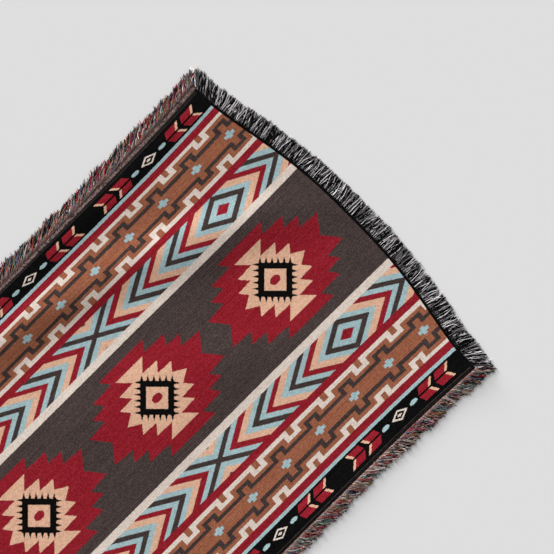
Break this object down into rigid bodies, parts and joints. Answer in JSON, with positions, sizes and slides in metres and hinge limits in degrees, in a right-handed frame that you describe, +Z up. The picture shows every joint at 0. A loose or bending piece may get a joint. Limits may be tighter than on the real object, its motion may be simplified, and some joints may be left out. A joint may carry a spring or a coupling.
{
  "type": "picnic blanket",
  "caption": "Rectangular picnic blanket of thick patterned cloth with bowed ends, one long soft fold, lifted edges and a yarn fringe along every edge, as it lies flat on a surface.",
  "frame": {"origin": "on the flat underside of the cloth, where it touches the surface, under the middle of the cloth's pattern", "axes": "+X across the blanket, +Y along it towards the head end, +Z up from the surface that it lies on"},
  "size_m": [1.6907, 2.2422, 0.0299],
  "materials": {
    "patterned_cloth": "matt woven cotton with a banded pattern",
    "black_and_white_yarn": "loose black and off-white yarn",
    "mixed_yarn": "loose yarn in the colours of the cloth"
  },
  "bodies": {
    "root": {"woven_panel": "patterned_cloth", "head_fringe": "black_and_white_yarn", "foot_fringe": "black_and_white_yarn", "left_fringe": "mixed_yarn", "right_fringe": "mixed_yarn"}
  },
  "joints": []
}
